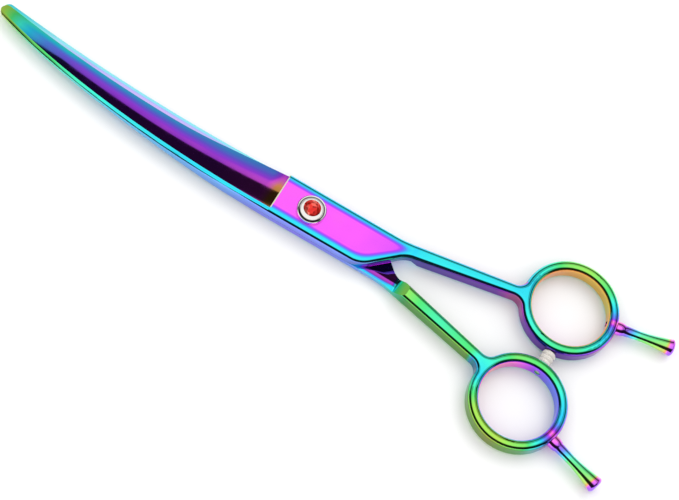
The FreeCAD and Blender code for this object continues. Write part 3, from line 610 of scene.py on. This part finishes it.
# %% Rainbow titanium coat of a half
def rainbow_coat(half, side):
    """The coat of one half; side is the Y direction of its ring."""
    m = new_material("rainbow titanium coat, " + half.replace("_", " "))
    at = half_frame(m, side)
    blade = blade_zones(m, half, at)
    border, in_relief = plate_zones(m, at, blade.on_blade)
    ring = ring_film(m, half, side, at)
    top = top_film(m, half, at, blade, border)
    wall = node(m, "ValToRGB", [at.share], stops=along_stops(WALL_ALONG[half]))
    top = node(m, "Mix", {0: ring.on_ring, 2: top, 3: ring.top})
    wall = node(m, "Mix", {0: ring.on_ring, 2: wall, 3: ring.wall})
    film = node(m, "Mix", {0: at.facing, 2: wall, 3: top})
    phase = node(m, "Math", [film, HIGHEST_PHASE], operation="MULTIPLY")
    line = step_line(m, at, blade)
    phase = node(m, "Mix", {0: line, 2: phase, 3: STEP_GOLD})
    # paleness: painted sheen on the walls and real wear on lapped faces
    pale = node(m, "Mix", {0: line, 2: paleness(m, at, blade), 3: STEP_PALENESS})
    # painted shade on the handle's walls
    painted_shade = painted_wall_shade(m, half, at, ring)
    exact = ground_normal(m, half, side, at, blade, in_relief)
    return finish_coat(m, at.place, phase, pale, painted_shade, exact)


for half, side in (("front_half", 1), ("rear_half", -1)):
    nodes[half].data.materials.clear()
    nodes[half].data.materials.append(rainbow_coat(half, side))
    print("coated", half)

# %% [markdown]
# The two finger rests are turned from the same steel and coated in the same batch, hung by
# their threads.  Their film changes along their length, from pink at the collar to green at
# the waist and violet at the flared end, and a little from side to side.

# %% Coat of the finger rests
REST_ALONG = [(13, 0.18), (15, 0.24), (17, 0.40), (19, 0.62), (21, 0.78), (25, 0.83),
              (28.2, 0.88), (28.8, 0.96), (29.3, 1.25), (31, 1.36), (33, 1.40)]
REST_START, REST_END = 13.0, 33.0
REST_SHIFT, REST_PALENESS = (0.08, -0.06), 0.08


def rest_coat(piece, side):
    """The coat of one finger rest; side is the Y direction of its ring."""
    m = new_material("rainbow titanium coat, " + piece.replace("_", " "))
    place = node(m, "TexCoord", output=3)
    normal = node(m, "TexCoord", output=1)
    flat = node(m, "VectorMath", [place, (1 / MM, 1 / MM, 0)], operation="MULTIPLY")
    flat = node(m, "VectorMath", [flat, (RING_X, side * RING_Y, 0)], operation="SUBTRACT")
    reach = node(m, "VectorMath", [flat], operation="LENGTH", output=1)
    share = node(m, "MapRange", [reach, REST_START, REST_END])
    stops = [((r - REST_START) / (REST_END - REST_START), [p / HIGHEST_PHASE] * 3 + [1])
             for r, p in REST_ALONG]
    phase = node(m, "ValToRGB", [share], stops=stops)
    phase = node(m, "Math", [phase, HIGHEST_PHASE], operation="MULTIPLY")
    sideways = node(m, "SeparateXYZ", [normal], output=1)
    shift = node(m, "MapRange", [sideways, -1, 1, *REST_SHIFT])
    phase = node(m, "Math", [phase, shift], operation="ADD")
    return finish_coat(m, place, phase, REST_PALENESS)


for piece, side in (("finger_rest_front", 1), ("finger_rest_rear", -1)):
    nodes[piece].data.materials.clear()
    nodes[piece].data.materials.append(rest_coat(piece, side))
    print("coated", piece)

# %% [markdown]
# The tension nut and the pivot bolt are bare stainless steel, turned on a lathe and then
# buffed, so they keep faint rings round their axis.  Real turning marks are about 0.05 mm
# apart; they are drawn 0.2 mm apart here so that they can be seen.  The washers are a
# springy carbon steel and a slippery white nylon.

# %% Small steel parts
TURNING_PITCH = 0.2 * MM
TURNING_RANGE, TURNING_BUMP, TURNING_DEPTH = (-0.5, 0.5), 0.12, 0.01 * MM
GRAIN_RANGE, GRAIN_BUMP, GRAIN_DEPTH = (0.3, 0.7), 0.15, 0.02 * MM


def turned_steel(name, colour, rough_low, rough_high):
    """Buffed steel with turning rings round Z."""
    m = new_material(name)
    place = node(m, "TexCoord", output=3)
    flat = node(m, "VectorMath", [place, (1, 1, 0)], operation="MULTIPLY")
    reach = node(m, "VectorMath", [flat], operation="LENGTH", output=1)
    ring = node(m, "Math", [reach, 2 * math.pi / TURNING_PITCH], operation="MULTIPLY")
    ring = node(m, "Math", [ring], operation="SINE")
    smudge = node(m, "TexNoise", {"Vector": place, "Scale": SMUDGE_SCALE, "Detail": 3})
    mark = node(m, "Math", [ring, smudge], operation="MULTIPLY")
    rough = node(m, "MapRange", [mark, *TURNING_RANGE, rough_low, rough_high])
    bump = node(m, "Bump", {"Strength": TURNING_BUMP, "Distance": TURNING_DEPTH, "Height": mark})
    node(m, "OutputMaterial", [node(m, "BsdfPrincipled", {
        "Base Color": linear(colour), "Roughness": rough, "Metallic": 1.0, "Normal": bump})])
    return m


def moulded(name, colour, rough_low, rough_high, grain_mm, **extra):
    """A moulded plastic or rubber with a fine skin."""
    m = new_material(name)
    place = node(m, "TexCoord", output=3)
    grain = node(m, "TexNoise", {"Vector": place, "Scale": 1 / (grain_mm * MM), "Detail": 2})
    rough = node(m, "MapRange", [grain, *GRAIN_RANGE, rough_low, rough_high])
    bump = node(m, "Bump", {"Strength": GRAIN_BUMP, "Distance": GRAIN_DEPTH, "Height": grain})
    inputs = {"Base Color": linear(colour), "Roughness": rough, "Normal": bump}
    inputs.update({key.replace("_", " "): value for key, value in extra.items()})
    node(m, "OutputMaterial", [node(m, "BsdfPrincipled", inputs)])
    return m


finishes = {
    "tension_nut": turned_steel("buffed stainless steel", "#F2F0EC", 0.05, 0.10),
    "pivot_bolt": turned_steel("turned stainless steel", "#DAD8D4", 0.12, 0.22),
    "spring_washer": turned_steel("spring steel", "#B4B2AE", 0.20, 0.32),
    "glide_washer": moulded("white nylon", "#F0EEE8", 0.35, 0.5, 0.3, Subsurface_Weight=0.2),
    "bumper": moulded("clear silicone rubber", "#F4EEE6", 0.18, 0.3, 0.25,
                      Transmission_Weight=0.35, IOR=1.41),
}
for piece, finish_material in finishes.items():
    nodes[piece].data.materials.clear()
    nodes[piece].data.materials.append(finish_material)
print("small parts finished:", len(finishes))

# %% [markdown]
# The jewel is a red glass stone, cut and foiled behind as costume stones are.  The CAD model
# holds its size; here it becomes a real brilliant cut: an octagonal table, eight stars,
# eight kites and sixteen girdle facets over a short wall.  Flat shading keeps each facet
# sharp, and the facets' own angles make them flash light and dark.

# %% Brilliant cut jewel
stone_low, stone_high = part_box("jewel")
stone_radius = (stone_high.x - stone_low.x) / 2
stone_centre = (stone_low + stone_high) / 2
FACETS = 8
TABLE_SHARE, STAR_SHARE = 0.50, 0.78
STAR_DROP, GIRDLE_DROP = 0.42, 0.95
GIRDLE_RISE = 0.7 * MM
STAR_HEIGHT = stone_high.z - GIRDLE_RISE * STAR_DROP
GIRDLE_HEIGHT = stone_high.z - GIRDLE_RISE * GIRDLE_DROP


def circle_points(shape, radius, height, count, half_step):
    """Points of a regular polygon round the stone's axis."""
    turn = 2 * math.pi / count
    return [shape.verts.new((stone_centre.x + radius * math.cos((i + half_step) * turn),
                             stone_centre.y + radius * math.sin((i + half_step) * turn), height))
            for i in range(count)]


shape = bmesh.new()
table = circle_points(shape, stone_radius * TABLE_SHARE, stone_high.z, FACETS, 0)
stars = circle_points(shape, stone_radius * STAR_SHARE, STAR_HEIGHT, FACETS, 0.5)
girdle = circle_points(shape, stone_radius, GIRDLE_HEIGHT, 2 * FACETS, 0)
base = circle_points(shape, stone_radius, stone_low.z, 2 * FACETS, 0)
shape.faces.new(table)
shape.faces.new(base[::-1])
for i in range(FACETS):
    after = (i + 1) % FACETS
    shape.faces.new((table[i], stars[i], table[after]))
    shape.faces.new((stars[i], table[i], stars[i - 1], girdle[2 * i]))
    shape.faces.new((stars[i], girdle[2 * i], girdle[2 * i + 1]))
    shape.faces.new((stars[i], girdle[2 * i + 1], girdle[(2 * i + 2) % (2 * FACETS)]))
for i in range(2 * FACETS):
    after = (i + 1) % (2 * FACETS)
    shape.faces.new((girdle[i], base[i], base[after], girdle[after]))
bmesh.ops.recalc_face_normals(shape, faces=shape.faces)
stone_mesh = bpy.data.meshes.new("cut_jewel")
shape.to_mesh(stone_mesh)
print("jewel facets:", len(shape.faces))
shape.free()
stone = bpy.data.objects.new("cut_jewel", stone_mesh)
bpy.context.scene.collection.objects.link(stone)
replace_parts(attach(stone, "nut"), "jewel")

# %% [markdown]
# Foiled red glass flashes from deep red to pink as the foil behind it catches the light.
# Here the flashes are painted into the colour as painted highlights and painted shade: cells
# about 1 mm across take one tone each.  Glass has an IOR of 1.52, and the foil makes the stone
# act partly as a metal.

# %% Foiled red glass
FLASH_CELL = 1.1 * MM
PAINTED_FLASH_TONES = [(0.0, "#8A0C0A"), (0.4, "#E02018"), (0.8, "#F03428"), (1.0, "#FF8474")]
glass = new_material("foiled red glass")
stone_place = node(glass, "TexCoord", output=3)
# painted highlight and painted shade: each cell takes one tone of red, from dark to pink, for a
# flash of the foil
facet = node(glass, "TexVoronoi", {"Vector": stone_place, "Scale": 1 / FLASH_CELL}, output=1)
tone = node(glass, "SeparateColor", [facet])
painted_flash = node(glass, "ValToRGB", [tone], stops=[(at, linear(hue)) for at, hue in PAINTED_FLASH_TONES])
node(glass, "OutputMaterial", [node(glass, "BsdfPrincipled", {
    "Base Color": painted_flash, "Roughness": 0.06, "Metallic": 0.7, "IOR": 1.52, "Coat Weight": 0.25,
    "Coat Roughness": 0.03})])
stone_mesh.materials.append(glass)
print("foil tones:", len(PAINTED_FLASH_TONES))

# %% [markdown]
# The model's mesh comes from the CAD file face by face.  Before a mirror finish its corners
# are welded and its sharp edges split, and each face's normal is weighted by its area, so
# that flat faces stay flat and rounds run smoothly into them.  All of it is modifiers.

# %% Smooth reflections
WELD = 0.002 * MM
SPLIT_ANGLE = math.radians(24)
for name, piece in nodes.items():
    piece.modifiers.new("weld", "WELD").merge_threshold = WELD
    split = piece.modifiers.new("split", "EDGE_SPLIT")
    split.split_angle = SPLIT_ANGLE
    split.use_edge_sharp = False
    piece.modifiers.new("weighted", "WEIGHTED_NORMAL").keep_sharp = True
print("smoothed", len(nodes), "pieces")

# %% [markdown]
# The shears lie on a matt white table top, which is seen in the picture and in reflections.

# %% Floor
FLOOR_HALF_SIZE, FLOOR_DROP = 3.0, 0.02 * MM
floor_mesh = bpy.data.meshes.new("floor")
floor_shape = bmesh.new()
bmesh.ops.create_grid(floor_shape, x_segments=1, y_segments=1, size=FLOOR_HALF_SIZE)
floor_shape.to_mesh(floor_mesh)
floor_shape.free()
floor = bpy.data.objects.new("floor", floor_mesh)
bpy.context.scene.collection.objects.link(floor)
floor.location.z = cad_low.z - FLOOR_DROP
table_top = new_material("white table")
paint = node(table_top, "BsdfPrincipled", {"Base Color": linear("#F4F4F4"), "Roughness": 0.9})
node(table_top, "OutputMaterial", [paint])
floor_mesh.materials.append(table_top)
print("floor at", round(floor.location.z / MM, 2), "mm")

# %% [markdown]
# A mirror coat shows its surroundings, so they are a set of their own: a dome that only
# reflections see.  Product photographers use a bright overhead tent with a dark gap in it,
# because the gap is what draws a black line down a curved blade.  Brightness is listed by
# height on the dome, one list for the side behind the shears and one for the near side.

# %% Studio dome seen only in reflections
DOME_RADIUS, DOME_SEGMENTS, DOME_RINGS = 2.0, 64, 48
dome_mesh = bpy.data.meshes.new("studio_dome")
dome_shape = bmesh.new()
bmesh.ops.create_uvsphere(dome_shape, u_segments=DOME_SEGMENTS, v_segments=DOME_RINGS,
                          radius=DOME_RADIUS)
dome_shape.to_mesh(dome_mesh)
dome_shape.free()
dome = bpy.data.objects.new("studio_dome", dome_mesh)
bpy.context.scene.collection.objects.link(dome)
for unseen in ("visible_camera", "visible_diffuse", "visible_shadow", "visible_transmission",
               "visible_volume_scatter"):
    setattr(dome, unseen, False)
print("dome made, radius", DOME_RADIUS, "m")

# %% [markdown]
# The dome's material only glows.  It finds the height of each direction on the dome, looks
# up the brightness in both lists, and blends from the near side to the far side.

# %% Brightness of the dome
DOME_FAR = [(0.0, 0.60), (0.36, 0.45), (0.42, 0.02), (0.635, 0.02), (0.65, 0.5), (0.72, 0.62),
            (0.82, 0.5), (0.862, 0.45), (0.878, 1.0), (1.0, 1.05)]
DOME_NEAR = [(0.0, 0.05), (0.30, 0.02), (0.72, 0.02), (0.80, 0.6), (0.86, 1.0), (1.0, 1.05)]
SIDE_BLEND = (-0.1, 0.1)
tent = new_material("studio dome")
dome_place = node(tent, "TexCoord", output=3)
heading = node(tent, "VectorMath", [dome_place], operation="NORMALIZE")
parts = node(tent, "SeparateXYZ", [heading]).node
far, near = [node(tent, "ValToRGB", [parts.outputs[2]],
                  stops=[(height, [bright] * 3 + [1]) for height, bright in bands])
             for bands in (DOME_FAR, DOME_NEAR)]
blend = node(tent, "MapRange", [parts.outputs[1], *SIDE_BLEND])
light = node(tent, "Mix", {0: blend, 6: near, 7: far}, data_type="RGBA", output=2)
node(tent, "OutputMaterial", [node(tent, "Emission", [light, 1.0])])
dome_mesh.materials.append(tent)
print("dome bands:", len(DOME_FAR), "far,", len(DOME_NEAR), "near")

# %% [markdown]
# The table's even white comes from the world's own light.  One large soft light from
# behind and to the right makes the faint shadow under the near edges; it is kept out of
# reflections, so that it doesn't show as a square on the steel.

# %% World and key light
WORLD_STRENGTH, KEY_WATTS, KEY_SIZE = 1.18, 2.5, 0.7
KEY_PLACE = (0.25, 0.75, 1.0)
world = bpy.data.worlds.new("studio")
bpy.context.scene.world = world
world.use_nodes = True
sky = world.node_tree.nodes["Background"]
sky.inputs["Color"].default_value = (1, 1, 1, 1)
sky.inputs["Strength"].default_value = WORLD_STRENGTH
key_data = bpy.data.lights.new("key", "AREA")
key_data.size = KEY_SIZE
key_data.energy = KEY_WATTS
key = bpy.data.objects.new("key", key_data)
bpy.context.scene.collection.objects.link(key)
key.location = KEY_PLACE
key.rotation_euler = (-key.location).to_track_quat("-Z", "Y").to_euler()
key.visible_glossy = False
bpy.context.scene.view_settings.view_transform = "Standard"
print("world strength", WORLD_STRENGTH, "and key light", KEY_WATTS, "W")
